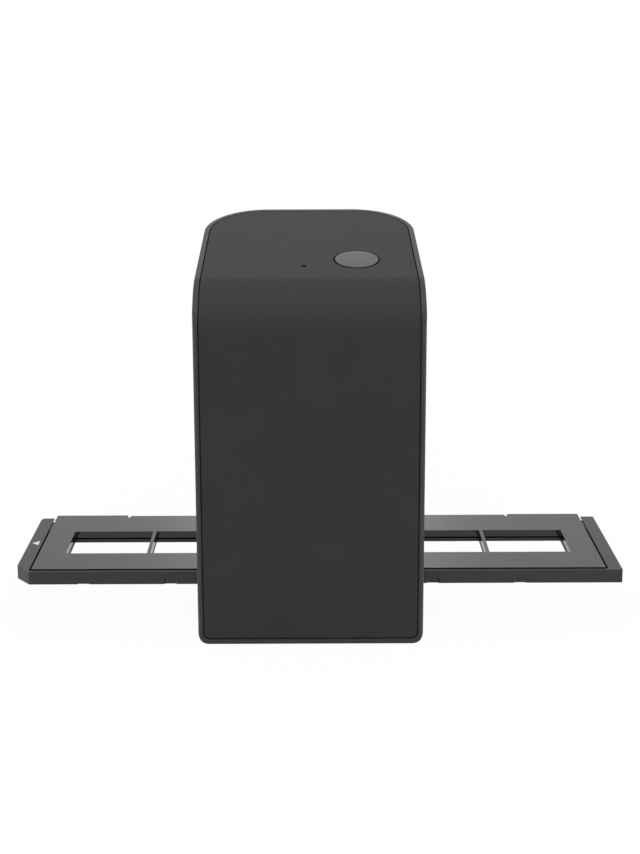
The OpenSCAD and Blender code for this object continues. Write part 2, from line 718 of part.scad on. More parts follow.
module on_board(x, z, size)
    translate([body_x + x - size[0] / 2, board_y - size[1], board_z + z - size[2] / 2]) cube(size);

// Puts its children at the main board's four holes, on its front face
module at_board_holes() for (x = [-board_hole_x, board_hole_x], z = board_hole_z)
    translate([body_x + x, board_y, board_z + z]) rotate([-90, 0, 0]) children();

module main_board() color(board_green) difference() {
    box([body_x - main_board_w / 2, board_y, board_z],
        [body_x + main_board_w / 2, board_y + board_t, board_z + main_board_h]);
    at_board_holes() translate([0, 0, -eps]) cylinder(board_t + 2 * eps, d = board_screw_dia + 0.2);
}

module main_board_screws() color("silver") at_board_holes() rotate([180, 0, 0])
    screw(board_screw_dia, board_t + 5, board_head_dia, board_head_h);

processor_size = [14, 1.4, 14];
work_memory = [8, 1.1, 11];
program_memory = [5, 1.2, 6];
chip_gap = 5; // between the processor and the memories beside it

module processor_chip() color("black") on_board(0, main_board_h * 0.5, processor_size);

module memory_chips() color("black") {
    on_board(-(processor_size[0] + work_memory[0]) / 2 - chip_gap, main_board_h * 0.5, work_memory);
    on_board((processor_size[0] + program_memory[0]) / 2 + chip_gap, main_board_h * 0.42, program_memory);
}

capacitor_dia = 5;
capacitor_l = 5.4;
capacitor_at = [13, 20]; // from the board's middle

module capacitors() color("silver") for (x = capacitor_at)
    translate([body_x + x, board_y, board_z + main_board_h * 0.25]) rotate([90, 0, 0])
        cylinder(capacitor_l, d = capacitor_dia);

module usb_socket() color("silver") difference() {
    back = board_y + board_t;
    box([body_x - socket_w / 2, back, socket_z - socket_h / 2],
        [body_x + socket_w / 2, back + socket_l, socket_z + socket_h / 2]);
    difference() {
        box([body_x - socket_w / 2 + 0.4, back + 1, socket_z - socket_h / 2 + 0.4],
            [body_x + socket_w / 2 - 0.4, back + socket_l + eps, socket_z + socket_h / 2 - 0.4]);
        box([body_x - 2.2, back, socket_z - 0.4], [body_x + 2.2, back + socket_l - 0.8, socket_z + 0.4]);
    }
}

// ---- Ribbons between the boards ----

connector_t = 2.4;
connector_h = 4;
sensor_connector = [14, connector_t, connector_h];
small_connector = [10, connector_t, connector_h]; // of the button and the backlight
sensor_ribbon_w = 11;
small_ribbon_w = 7;
sensor_connector_x = -2;
button_connector_x = 11;
backlight_connector_x = -8;
connector_drop = 8; // from the main board's top edge to its two upper connectors
upper_connector_z = main_board_h - connector_drop;
lower_connector_z = 6;

module ribbon_connectors() color("ivory") {
    // on the main board: sensor, button, backlight
    on_board(sensor_connector_x, upper_connector_z, sensor_connector);
    on_board(button_connector_x, upper_connector_z, small_connector);
    on_board(backlight_connector_x, lower_connector_z, small_connector);
    // on the sensor board
    at_lens(sensor_board_z + board_t)
        translate([sensor_connector_x - sensor_connector[0] / 2, sensor_board_w / 2 - connector_h - 1, 0])
            cube([sensor_connector[0], connector_h, connector_t]);
}

ribbon_gap = 0.4; // distance of a ribbon's face from what it passes
ribbon_y = board_y - connector_t / 2;

module sensor_ribbon() color("white") ribbon([
    [film_y + sensor_board_w / 2 - 1 + ribbon_gap, sensor_board_z + board_t + connector_t / 2],
    [film_y + sensor_board_w / 2 + 9, sensor_board_z + board_t + connector_t / 2],
    [ribbon_y - 3, sensor_board_z - 2],
    [ribbon_y, board_z + upper_connector_z + connector_h / 2 + 4],
    [ribbon_y, board_z + upper_connector_z + connector_h / 2 + ribbon_gap]],
    body_x + sensor_connector_x, sensor_ribbon_w);

module button_ribbon() color("white") {
    // the rear edge of the button's board
    deep = button_board_z - button_board_t / 2;
    edge_y = front_y + button_y + button_board_rear * cos(top_slope) - deep * sin(top_slope);
    edge_z = top_z(front_y + button_y) + button_board_rear * sin(top_slope) + deep * cos(top_slope);
    ribbon([
        [edge_y + ribbon_gap, edge_z],
        [edge_y + 8, edge_z - 1],
        [ribbon_y - 5, edge_z - 10],
        [ribbon_y, board_z + upper_connector_z + connector_h / 2 + 10],
        [ribbon_y, board_z + upper_connector_z + connector_h / 2 + ribbon_gap]],
        body_x + button_connector_x, small_ribbon_w);
}

module backlight_ribbon() color("white") {
    edge = film_y + light_h / 2 + light_wall + 6;
    behind_guides = max(ribbon_y, channel_rear + guide_wall + 1);
    ribbon([
        [edge + ribbon_gap, backlight_z + board_t / 2],
        [edge + 8, backlight_z + board_t / 2],
        [behind_guides, backlight_z + 12],
        [behind_guides, chamber_under + guide_t + 1],
        [ribbon_y, board_z + lower_connector_z - connector_h / 2 - ribbon_gap]],
        body_x + backlight_connector_x, small_ribbon_w);
}

// ---- Film holder ----

holder_r = 0.5; // radius of the holder's right corners
recess_margin = 4; // from the windows to the front and rear of the recess under them

// Outline of the holder's base, seen from above: cut at the front left and slightly rounded elsewhere
module holder_outline() polygon(concat(
    [[-holder_l / 2, holder_front + key_corner], [-holder_l / 2 + key_corner, holder_front]],
    arc(holder_l / 2 - holder_r, holder_front + holder_r, holder_r, -90, 0, 4),
    arc(holder_l / 2 - holder_r, holder_rear - holder_r, holder_r, 0, 90, 4),
    arc(-holder_l / 2 + tab_corner_r, holder_rear - tab_corner_r, tab_corner_r, 90, 180, 8)));

// The pocket before a click notch, seen from above
module notch_pocket() let(half = (notch_w - notch_front_d) / 2, reach = notch_front_d + eps)
    polygon([[-half, notch_front_d], [-half - reach, -eps], [half + reach, -eps], [half, notch_front_d]]);

module windows(from_z, to_z) for (i = [0:frames - 1]) box(
    [frame_x(i) - frame_w / 2, film_y - frame_h / 2, from_z],
    [frame_x(i) + frame_w / 2, film_y + frame_h / 2, to_z]);

module holder_base() color(holder_grey) difference() {
    floor_z = lid_under - slack;
    translate([0, 0, holder_z]) linear_extrude(holder_h) holder_outline();
    // pocket of the lid, open at the rear
    box([-tab_inner, holder_front + holder_rim, floor_z],
        [tab_inner, holder_rear + eps, holder_z + holder_h + eps]);
    box([-lid_half - slack, base_rear, holder_z - eps],
        [lid_half + slack, holder_rear + eps, holder_z + holder_h + eps]);
    // film channel and windows
    box([-tab_inner + 2, film_y - film_w / 2 - 0.2, floor_z - film_channel],
        [tab_inner - 2, film_y + film_w / 2 + 0.2, floor_z + eps]);
    windows(holder_z - eps, floor_z + eps);
    // recess under the windows, between the ribs that slide on the guide
    box([-tab_inner + 2, film_y - frame_h / 2 - recess_margin, holder_z - eps],
        [tab_inner - 2, film_y + frame_h / 2 + recess_margin, holder_z + under_recess]);
    // click notches in the underside, and the pockets in the front that show where they are
    for (i = [0:frames - 1]) let(x = frame_x(i) - notch_offset) {
        box([x - notch_w / 2, holder_front + notch_from, holder_z - eps],
            [x + notch_w / 2, holder_front + notch_from + click_w + 1, holder_z + notch_h]);
        translate([x, holder_front, holder_z - eps]) linear_extrude(notch_front_h + eps) notch_pocket();
    }
    // holes of the hinge pins
    for (side = [-1, 1]) translate([side * (tab_inner + tab_w / 2 - 1), pin_y, pin_z]) rotate([0, 90, 0])
        cylinder(tab_w, d = pin_dia + 2 * press, center = true);
    // arrow that shows the way in
    translate([-holder_l / 2 + 1.2, holder_y, holder_z + holder_h - 0.2]) linear_extrude(1)
        polygon([[0, 0], [3, -1.4], [3, 1.4]]);
}

lid_step = 0.7; // how much further back the lid's end parts reach
lid_step_x = 90.4; // from the middle to the step
lid_corner = 0.5; // cut across the lid's rear corners
lid_nick_w = 1.2; // small notch in the rear edge at the step
lid_nick_d = 1.8;

// Right half of the lid's outline, from its front edge round its end to the step in its rear edge
lid_edge = [
    [lid_half, lid_front], [lid_half, lid_rear - lid_corner], [lid_half - lid_corner, lid_rear],
    [lid_step_x + lid_nick_w / 2, lid_rear], [lid_step_x, lid_rear - lid_step - lid_nick_d],
    [lid_step_x - lid_nick_w / 2, lid_rear - lid_step]];

module holder_lid() color(holder_grey) difference() {
    translate([0, 0, lid_under]) linear_extrude(lid_t)
        polygon(concat(lid_edge, reversed([for (p = lid_edge) [-p[0], p[1]]])));
    windows(lid_under - eps, lid_top + eps);
    for (side = [-1, 1]) translate([side * lid_half, pin_y, pin_z]) rotate([0, 90, 0])
        cylinder(2 * (pin_reach + 0.5), d = pin_dia + 2 * press, center = true);
}

module hinge_pins() color("silver") for (side = [-1, 1]) let(length = pin_reach + lid_end_gap + tab_w - 2)
    translate([side * (lid_half - pin_reach + length / 2), pin_y, pin_z]) rotate([0, 90, 0])
        cylinder(length, d = pin_dia, center = true);

housing();
front_cover();
base_plate();
rubber_feet();
case_screws();
scan_button();
switch_plunger();
tact_switch();
button_board();
button_board_screws();
power_led();
light_pipe();
lower_guide();
light_chamber();
guide_screws();
click_spring();
spring_screw();
diffuser();
reflector();
backlight_board();
backlight_leds();
sensor_board();
sensor_screws();
image_sensor();
infrared_filter();
lens_mount();
lens_barrel();
lens_glass();
main_board();
main_board_screws();
processor_chip();
memory_chips();
capacitors();
usb_socket();
ribbon_connectors();
sensor_ribbon();
button_ribbon();
backlight_ribbon();
holder_base();
holder_lid();
hinge_pins();
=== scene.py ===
"""Film negative scanner: looks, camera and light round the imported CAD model. Metres, +Z up, front at -Y."""
import json
import math

import bmesh
import bpy
from mathutils import Matrix, Vector
from mathutils.bvhtree import BVHTree


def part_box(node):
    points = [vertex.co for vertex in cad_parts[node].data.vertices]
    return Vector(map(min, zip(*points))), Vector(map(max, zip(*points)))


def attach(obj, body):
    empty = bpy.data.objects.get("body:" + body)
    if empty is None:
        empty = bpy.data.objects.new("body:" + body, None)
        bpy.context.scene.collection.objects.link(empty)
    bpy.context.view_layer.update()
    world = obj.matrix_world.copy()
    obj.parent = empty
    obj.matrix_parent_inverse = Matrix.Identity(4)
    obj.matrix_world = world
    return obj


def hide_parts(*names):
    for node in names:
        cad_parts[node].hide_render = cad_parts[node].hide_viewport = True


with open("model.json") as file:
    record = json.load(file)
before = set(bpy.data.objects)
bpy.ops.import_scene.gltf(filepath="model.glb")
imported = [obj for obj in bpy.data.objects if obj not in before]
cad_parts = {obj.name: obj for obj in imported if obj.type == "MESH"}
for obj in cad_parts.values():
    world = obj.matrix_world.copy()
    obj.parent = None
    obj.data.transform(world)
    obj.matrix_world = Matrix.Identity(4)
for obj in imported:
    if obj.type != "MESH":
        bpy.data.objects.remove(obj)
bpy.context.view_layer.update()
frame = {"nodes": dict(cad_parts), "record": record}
nodes = frame["nodes"]
MM = 0.001


def new_object(name, data):
    made = bpy.data.objects.new(name, data)
    bpy.context.scene.collection.objects.link(made)
    return made


# ---- Camera ----

IMAGE_W, IMAGE_H = 640, 854
PITCH = math.radians(10.0)  # the camera looks down
ROLL = math.radians(0.212)
FOCAL_PX = 1260.4
CENTRE_PX = (309.23, 235.8)  # the pixel that the optical axis meets
CAMERA_AT = (-0.0035, -0.5444, 0.2638)
SENSOR_MM = 36
NEAREST_SEEN = 10 * MM


def make_camera():
    data = bpy.data.cameras.new("camera")
    camera = new_object("camera", data)
    turn = Matrix.Rotation(math.pi / 2 - PITCH, 4, "X") @ Matrix.Rotation(-ROLL, 4, "Z")
    camera.matrix_world = Matrix.Translation(CAMERA_AT) @ turn
    data.sensor_width = SENSOR_MM
    data.lens = FOCAL_PX * SENSOR_MM / IMAGE_H
    data.shift_x = (IMAGE_W / 2 - CENTRE_PX[0]) / IMAGE_H
    data.shift_y = (CENTRE_PX[1] - IMAGE_H / 2) / IMAGE_H
    data.clip_start = NEAREST_SEEN
    bpy.context.scene.camera = camera


# ---- Materials ----

NOISE_RANGE = (0.3, 0.7)  # most of the values that a noise texture takes
WALL_RANGE = (0.6, 0.95)  # up part of the normal, from a steep face to a flat one, over which the painted wall shade and the wall gloss fade out
PATCHES, METAL_PATCHES = 38.0, 160.0  # slow changes of tone, per metre
METAL_LINES, HAZE_GRAIN, TRACKS = 2400.0, 700.0, 420.0  # per metre
TRACK_EDGE = (0.42, 0.46)


class Tree:
    """A short way to write shader nodes."""

    def __init__(self, owner):
        owner.use_nodes = True
        self.tree = owner.node_tree
        self.tree.nodes.clear()

    def add(self, kind, inputs=None, **settings):
        node = self.tree.nodes.new(kind)
        for name, value in settings.items():
            setattr(node, name, value)
        for name, value in (inputs or {}).items():
            socket = node.inputs[name]
            if isinstance(value, bpy.types.NodeSocket):
                self.tree.links.new(value, socket)
            else:
                socket.default_value = value
        return node

    def noise(self, place, scale, detail=2.0, roughness=0.5):
        sizes = {"Vector": place, "Scale": scale, "Detail": detail, "Roughness": roughness}
        return self.add("ShaderNodeTexNoise", sizes).outputs["Fac"]

    def spread(self, value, low, high, from_low=0.0, from_high=1.0):
        ends = {"Value": value, "From Min": from_low, "From Max": from_high, "To Min": low, "To Max": high}
        return self.add("ShaderNodeMapRange", ends).outputs["Result"]

    def vary(self, noise, low, high):
        return self.spread(noise, low, high, *NOISE_RANGE)

    def most(self, a, b):
        return self.add("ShaderNodeMath", {0: a, 1: b}, operation="MAXIMUM").outputs[0]

    def times(self, a, b):
        return self.add("ShaderNodeMath", {0: a, 1: b}, operation="MULTIPLY").outputs[0]

    def tint(self, colour, factor):
        """A colour made lighter or darker by a factor near 1."""
        mix = self.add("ShaderNodeMix", data_type="RGBA", blend_type="MULTIPLY")
        mix.inputs["Factor"].default_value = 1.0
        mix.inputs["A"].default_value = (*colour, 1)
        self.tree.links.new(factor, mix.inputs["B"])
        return mix.outputs["Result"]

    def surface(self, shader, kind="ShaderNodeOutputMaterial"):
        self.add(kind, {"Surface": shader})


MATERIALS = {}


def material(slot):
    made = bpy.data.materials.new(slot + "_look")
    MATERIALS[slot] = made
    return Tree(made)


def plastic(slot, colour, rough, grain=0.3 * MM, depth=0.012 * MM, level=0.5, mottle=0.06, painted_wall_shade_and_gloss=(1, 1)):
    """Moulded plastic with a spark-eroded grain and slow changes of tone.

    walls multiplies the tone of steep faces, which paints shade on them, and their roughness.
    """
    t = material(slot)
    ways = t.add("ShaderNodeTexCoord").outputs
    place = ways["Object"]
    fine = t.noise(place, 1 / grain, 3.0, 0.6)
    slow = t.noise(place, PATCHES, 3.0, 0.55)
    tone = t.vary(slow, 1 - mottle, 1 + mottle)
    gloss = t.vary(fine, rough - 0.05, rough + 0.05)
    if painted_wall_shade_and_gloss != (1, 1):
        height = t.add("ShaderNodeSeparateXYZ", {"Vector": ways["Normal"]}).outputs["Z"]
        flat = t.add("ShaderNodeMath", {0: height}, operation="ABSOLUTE").outputs[0]
        # painted shade: steep faces get a darker tone, whatever light falls on them
        tone = t.times(tone, t.spread(flat, painted_wall_shade_and_gloss[0], 1.0, *WALL_RANGE))
        gloss = t.times(gloss, t.spread(flat, painted_wall_shade_and_gloss[1], 1.0, *WALL_RANGE))
    bump = t.add("ShaderNodeBump", {"Height": fine, "Distance": depth, "Strength": 1.0})
    shader = t.add("ShaderNodeBsdfPrincipled", {
        "Base Color": t.tint(colour, tone), "Roughness": gloss, "Specular IOR Level": level,
        "Normal": bump.outputs["Normal"]})
    t.surface(shader.outputs["BSDF"])


def metal(slot, colour, rough, brushed=0.0):
    """Plated or drawn metal, with fine lines along X where it is brushed."""
    t = material(slot)
    place = t.add("ShaderNodeTexCoord").outputs["Object"]
    long = t.add("ShaderNodeMapping", {"Vector": place, "Scale": (1 - 0.95 * brushed, 1, 1)})
    lines = t.noise(long.outputs["Vector"], METAL_LINES, 3.0, 0.6)
    gloss = t.vary(lines, rough - 0.06, rough + 0.06)
    tone = t.vary(t.noise(place, METAL_PATCHES), 0.9, 1.05)
    bump = t.add("ShaderNodeBump", {"Height": lines, "Distance": 0.006 * MM, "Strength": 0.8})
    shader = t.add("ShaderNodeBsdfPrincipled", {
        "Base Color": t.tint(colour, tone), "Roughness": gloss, "Metallic": 1.0,
        "Normal": bump.outputs["Normal"]})
    t.surface(shader.outputs["BSDF"])


def glass(slot, colour, ior=1.5, rough=0.03):
    """Clear plastic or coated glass with a faint haze."""
    t = material(slot)
    place = t.add("ShaderNodeTexCoord").outputs["Object"]
    haze = t.vary(t.noise(place, HAZE_GRAIN), rough * 0.5, rough * 1.5)
    shader = t.add("ShaderNodeBsdfPrincipled", {
        "Base Color": (*colour, 1), "Roughness": haze, "IOR": ior, "Transmission Weight": 1.0})
    t.surface(shader.outputs["BSDF"])


def board(slot):
    """Circuit board: green solder mask over copper tracks that run at right angles."""
    t = material(slot)
    place = t.add("ShaderNodeTexCoord").outputs["Object"]
    cells = t.add("ShaderNodeTexVoronoi", {"Vector": place, "Scale": TRACKS}, distance="CHEBYCHEV")
    tracks = t.spread(cells.outputs["Distance"], 0.0, 1.0, *TRACK_EDGE)
    tone = t.spread(tracks, 0.8, 1.35)
    bump = t.add("ShaderNodeBump", {"Height": tracks, "Distance": 0.03 * MM, "Strength": 0.6})
    shader = t.add("ShaderNodeBsdfPrincipled", {
        "Base Color": t.tint((0.012, 0.09, 0.032), tone), "Roughness": 0.32,
        "Normal": bump.outputs["Normal"]})
    t.surface(shader.outputs["BSDF"])


def make_materials():
    plastic("shell_plastic", (0.03, 0.03, 0.031), 0.5, level=0.22)
    plastic("cover_plastic", (0.026, 0.026, 0.027), 0.68, level=0.17)
    plastic("base_plastic", (0.015, 0.015, 0.016), 0.55, grain=0.5 * MM, depth=0.02 * MM, level=0.3)
    plastic("foot_rubber", (0.01, 0.01, 0.01), 0.75, grain=0.6 * MM, depth=0.03 * MM, level=0.3)
    # button_plastic: painted shade, a dark rim on the button's rounded edge and sides, as in the gap round it
    plastic("button_plastic", (0.055, 0.055, 0.055), 0.48, level=0.27, painted_wall_shade_and_gloss=(0.15, 1))
    plastic("inner_plastic", (0.01, 0.01, 0.011), 0.6)
    plastic("opal_plastic", (0.8, 0.8, 0.79), 0.35, mottle=0.02)
    plastic("white_plastic", (0.75, 0.75, 0.74), 0.5, mottle=0.02)
    plastic("led_plastic", (0.7, 0.62, 0.3), 0.3, mottle=0.03)
    plastic("chip_plastic", (0.012, 0.012, 0.013), 0.5)
    plastic("connector_plastic", (0.62, 0.57, 0.44), 0.5)
    plastic("ribbon_plastic", (0.72, 0.72, 0.68), 0.35, mottle=0.03)
    plastic("holder_plastic", (0.015, 0.015, 0.018), 0.36, grain=0.8 * MM, depth=0.09 * MM, level=0.42)
    # lid_plastic: painted shade on the steep window walls, which are also made smoother
    plastic("lid_plastic", (0.03, 0.03, 0.031), 0.32, level=0.52, painted_wall_shade_and_gloss=(0.15, 0.3))
    metal("screw_steel", (0.56, 0.56, 0.58), 0.3)
    metal("spring_steel", (0.6, 0.6, 0.6), 0.3, brushed=1.0)
    metal("barrel_metal", (0.02, 0.02, 0.022), 0.4)
    metal("capacitor_metal", (0.7, 0.7, 0.71), 0.3, brushed=1.0)
    metal("socket_metal", (0.68, 0.68, 0.66), 0.22)
    metal("pin_steel", (0.56, 0.56, 0.58), 0.28, brushed=1.0)
    # clear_plastic: a near-black tint on the light pipe, painted shade that darkens the deep LED hole
    glass("clear_plastic", (0.03, 0.03, 0.03))
    glass("filter_glass", (0.6, 0.85, 0.85))
    glass("lens_glass", (0.85, 0.88, 0.95))
    board("board_green")


# ---- Mesh helpers ----

SHARP = math.radians(31)  # edges sharper than this are rounded or stay crisp
ALMOST_FLAT = math.radians(0.6)  # facets that meet at less are joined
HOUSING_EDGE, COVER_EDGE = 0.25 * MM, 0.5 * MM
JOIN = 0.05 * MM  # corners closer than this are joined
SAME = 0.01 * MM


def finish_mesh(name, bm, slot, body):
    """Makes a piece of a mesh: smooth shading, crisp where an edge stays sharp."""
    bmesh.ops.recalc_face_normals(bm, faces=bm.faces)
    for face in bm.faces:
        face.smooth = True
    for edge in bm.edges:
        edge.smooth = edge.calc_face_angle(0) < SHARP
    mesh = bpy.data.meshes.new(name)
    bm.to_mesh(mesh)
    bm.free()
    piece = new_object(name, mesh)
    mesh.materials.append(MATERIALS[slot])
    normals = piece.modifiers.new("normals", "WEIGHTED_NORMAL")
    normals.keep_sharp = True
    normals.weight = 100
    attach(piece, body)
    return piece


def bevel(bm, edges, width, segments=4):
    bmesh.ops.bevel(
        bm, geom=edges, offset=width, offset_type="OFFSET", segments=segments, profile=0.5,
        affect="EDGES", clamp_overlap=False, miter_outer="SHARP", miter_inner="SHARP")


def sharp_edges(bm, wanted=lambda edge: True):
    return [e for e in bm.edges if len(e.link_faces) == 2 and e.calc_face_angle(0) > SHARP and wanted(e)]


def whole_model_tree():
    """All the CAD solids at rest, to ask what a face looks at."""
    points, faces = [], []
    for o in nodes.values():
        start = len(points)
        points += [v.co.copy() for v in o.data.vertices]
        faces += [[start + i for i in p.vertices] for p in o.data.polygons]
    return BVHTree.FromPolygons(points, faces)


def faces_out(face, tree):
    """Whether a face looks away from all the CAD solids."""
    start = face.calc_center_median() + face.normal * SAME
    return tree.ray_cast(start, face.normal)[0] is None


def lies_over(node, edge):
    """Whether an edge lies over a CAD node, seen from above."""
    low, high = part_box(node)
    return all(low[i] <= v.co[i] <= high[i] for v in edge.verts for i in (0, 1))


def rounded_copy(node, slot, tree, sides, width, crisp=None):
    """The shape of a CAD node of the scanner, with outer edges rounded.

    Those are the convex edges that have so many sides looking out. The edges over the node crisp stay.
    """
    bm = bmesh.new()
    bm.from_mesh(nodes[node].data)
    bmesh.ops.remove_doubles(bm, verts=bm.verts, dist=JOIN)
    bmesh.ops.dissolve_limit(
        bm, angle_limit=ALMOST_FLAT, use_dissolve_boundaries=False, verts=bm.verts, edges=bm.edges)
    out = bm.faces.layers.int.new("out")
    for face in bm.faces:
        face[out] = int(faces_out(face, tree))

    def wanted(edge):
        looking_out = sum(face[out] for face in edge.link_faces)
        return looking_out == sides and edge.is_convex and not (crisp and lies_over(crisp, edge))

    bevel(bm, sharp_edges(bm, wanted), width)
    piece = finish_mesh(node + "_shell", bm, slot, "scanner")
    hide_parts(node)


def cell_solid(xs, ys, zs, filled):
    """A solid of the boxes between grid lines, where filled(x, y, z) holds in the middle of the box."""
    lines = [sorted({round(v, 8) for v in axis}) for axis in (xs, ys, zs)]

    def kept(cell):
        if any(c < 0 or c > len(axis) - 2 for c, axis in zip(cell, lines)):
            return False
        return filled(*[(axis[c] + axis[c + 1]) / 2 for c, axis in zip(cell, lines)])

    bm = bmesh.new()
    corners = {}

    def corner(spot):
        if spot not in corners:
            corners[spot] = bm.verts.new([axis[i] for axis, i in zip(lines, spot)])
        return corners[spot]

    span = [range(len(axis) - 1) for axis in lines]
    for cell in [(i, j, k) for i in span[0] for j in span[1] for k in span[2]]:
        if not kept(cell):
            continue
        for axis in range(3):
            for side in (0, 1):
                beyond = list(cell)
                beyond[axis] += 2 * side - 1
                if kept(tuple(beyond)):
                    continue
                a, b = [n for n in range(3) if n != axis]
                loop = []
                for da, db in ((0, 0), (1, 0), (1, 1), (0, 1)):
                    spot = list(cell)
                    spot[axis] += side
                    spot[a] += da
                    spot[b] += db
                    loop.append(corner(tuple(spot)))
                bm.faces.new(loop)
    bmesh.ops.recalc_face_normals(bm, faces=bm.faces)
    return bm


def near(a, b):
    return abs(a - b) < SAME


def upright_at(bm, places):
    """The vertical edges that stand at any of some (x, y) places."""
    def stands(edge):
        a, b = [v.co for v in edge.verts]
        return near(a.x, b.x) and near(a.y, b.y) and any(near(a.x, x) and near(a.y, y) for x, y in places)
    return [e for e in bm.edges if stands(e)]


def lathe(bm, rings, sides=96):
    """Adds a solid of revolution about Z of (radius, height) rings, from the top's middle to the bottom's."""
    loops = []
    for radius, height in rings:
        if radius == 0:
            loops.append([bm.verts.new((0, 0, height))])
        else:
            turns = [2 * math.pi * i / sides for i in range(sides)]
            loops.append([bm.verts.new((radius * math.cos(a), radius * math.sin(a), height)) for a in turns])
    for upper, lower in zip(loops, loops[1:]):
        for i in range(sides):
            j = (i + 1) % sides
            above = [upper[i % len(upper)], upper[j % len(upper)]]
            below = [lower[j % len(lower)], lower[i % len(lower)]]
            bm.faces.new(list(dict.fromkeys(above + below)))
    return [vert for loop in loops for vert in loop]


# ---- Film holder ----

TAB_W = 6 * MM  # the tab at each end
RIM = 1.3 * MM  # the rim in front of the lid
SLACK = 0.3 * MM
FRAME_W, FRAME_H, FRAME_PITCH, FRAMES = 36.4 * MM, 24 * MM, 38 * MM, 6
FILM_BACK = 0.4 * MM  # the film's middle line behind the holder's
FILM_W = 35.4 * MM  # the channel that the film lies in
FILM_CHANNEL = 0.5 * MM
FILM_CHANNEL_END = 2 * MM  # from the tab to the end of the channel
KEY_CORNER = 6.3 * MM
CORNER_R = 0.5 * MM
TAB_CORNER_R = 1.8 * MM  # the corner at the rear left
NOTCH_W, NOTCH_H, NOTCH_L, NOTCH_LEFT = 5 * MM, 0.5 * MM, 6 * MM, 7.3 * MM
NOTCH_FROM = 1.2 * MM  # from the holder's front to its click notches
POCKET_H, POCKET_D = 2.45 * MM, 0.5 * MM  # the pocket in the front before a notch, whose sides slant
RECESS_D, RECESS_OUT = 1 * MM, 4 * MM  # in the underside, round the windows
HOLDER_EDGE = 0.13 * MM  # rounding of the holder's edges
LID_STEP, LID_STEP_X = 0.7 * MM, 90.4 * MM  # the lid's middle part ends a little before its ends
NICK_W, NICK_FLOOR, NICK_D = 1.6 * MM, 0.6 * MM, 1.8 * MM

base_low, base_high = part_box("holder_base")
lid_low, lid_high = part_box("holder_lid")
pin_low, pin_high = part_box("hinge_pins")
film_y = (base_low[1] + base_high[1]) / 2 + FILM_BACK
frame_mid = [(i - (FRAMES - 1) / 2) * FRAME_PITCH for i in range(FRAMES)]
window_x = [x + side * FRAME_W / 2 for x in frame_mid for side in (-1, 1)]
window_y = [film_y - FRAME_H / 2, film_y + FRAME_H / 2]


def in_window(x, y):
    return window_y[0] < y < window_y[1] and any(abs(x - mid) < FRAME_W / 2 for mid in frame_mid)


def make_holder_base():
    """The tray: tabs, front rim, film channel with its windows, click notches and the cut corner."""
    left, front, under = base_low
    right, rear, top = base_high
    inner = right - TAB_W
    floor = lid_low[2] - SLACK
    pin_y, pin_z = (pin_low[1] + pin_high[1]) / 2, (pin_low[2] + pin_high[2]) / 2
    lid_swing = math.hypot(lid_high[1] - pin_y, (lid_high[2] - lid_low[2]) / 2)
    base_rear = pin_y - lid_swing - SLACK
    film_edges = [film_y - FILM_W / 2, film_y + FILM_W / 2]
    lid_room = lid_high[0] + SLACK
    channel_end = inner - FILM_CHANNEL_END
    recess_y = [window_y[0] - RECESS_OUT, window_y[1] + RECESS_OUT]
    notch_mid = [x - NOTCH_LEFT for x in frame_mid]
    notch_x = [x + side * NOTCH_W / 2 for x in notch_mid for side in (-1, 1)]
    pocket_half = (NOTCH_W - POCKET_D) / 2
    pocket_x = [x + side * pocket_half for x in notch_mid for side in (-1, 1)]
    groove_y = [front + NOTCH_FROM, front + NOTCH_FROM + NOTCH_L]
    sides = [side * x for x in (right, inner, lid_room, channel_end) for side in (-1, 1)]
    xs = [*sides, *window_x, *notch_x, *pocket_x]
    ys = [front, front + POCKET_D, front + RIM, *groove_y, *film_edges, *recess_y, *window_y, base_rear, rear]
    zs = [under, under + NOTCH_H, under + RECESS_D, under + POCKET_H, floor - FILM_CHANNEL, floor, top]

    def filled(x, y, z):
        from_notch = min(abs(x - mid) for mid in notch_mid)
        if from_notch < NOTCH_W / 2 and z < under + NOTCH_H and groove_y[0] < y < groove_y[1]:
            return False
        if from_notch < pocket_half and z < under + POCKET_H and y < front + POCKET_D:
            return False
        if abs(x) > inner:
            return True
        if in_window(x, y) or (y > base_rear and abs(x) < lid_room):
            return False
        if z > floor:
            return y < front + RIM
        if abs(x) > channel_end:
            return True
        if z > floor - FILM_CHANNEL:
            return not film_edges[0] < y < film_edges[1]
        return z > under + RECESS_D or not recess_y[0] < y < recess_y[1]

    bm = cell_solid(xs, ys, zs, filled)
    cut = bmesh.ops.bisect_plane(
        bm, geom=[*bm.verts, *bm.edges, *bm.faces], plane_co=(left + KEY_CORNER, front, 0),
        plane_no=(-1, -1, 0), clear_outer=True)
    rim = [e for e in cut["geom_cut"] if isinstance(e, bmesh.types.BMEdge)]
    bmesh.ops.contextual_create(bm, geom=rim)
    bmesh.ops.dissolve_limit(bm, angle_limit=ALMOST_FLAT, verts=bm.verts, edges=bm.edges)
    for vert in bm.verts:
        mid = min(notch_mid, key=lambda x: abs(x - vert.co.x))
        if near(vert.co.y, front) and near(abs(vert.co.x - mid), pocket_half):
            vert.co.x += math.copysign(POCKET_D, vert.co.x - mid)
    bevel(bm, upright_at(bm, [(left, rear)]), TAB_CORNER_R, 6)
    bevel(bm, upright_at(bm, [(right, front), (right, rear)]), CORNER_R)
    bevel(bm, sharp_edges(bm), HOLDER_EDGE, 3)
    piece = finish_mesh("holder_tray", bm, "holder_plastic", "film_holder")
    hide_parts("holder_base")


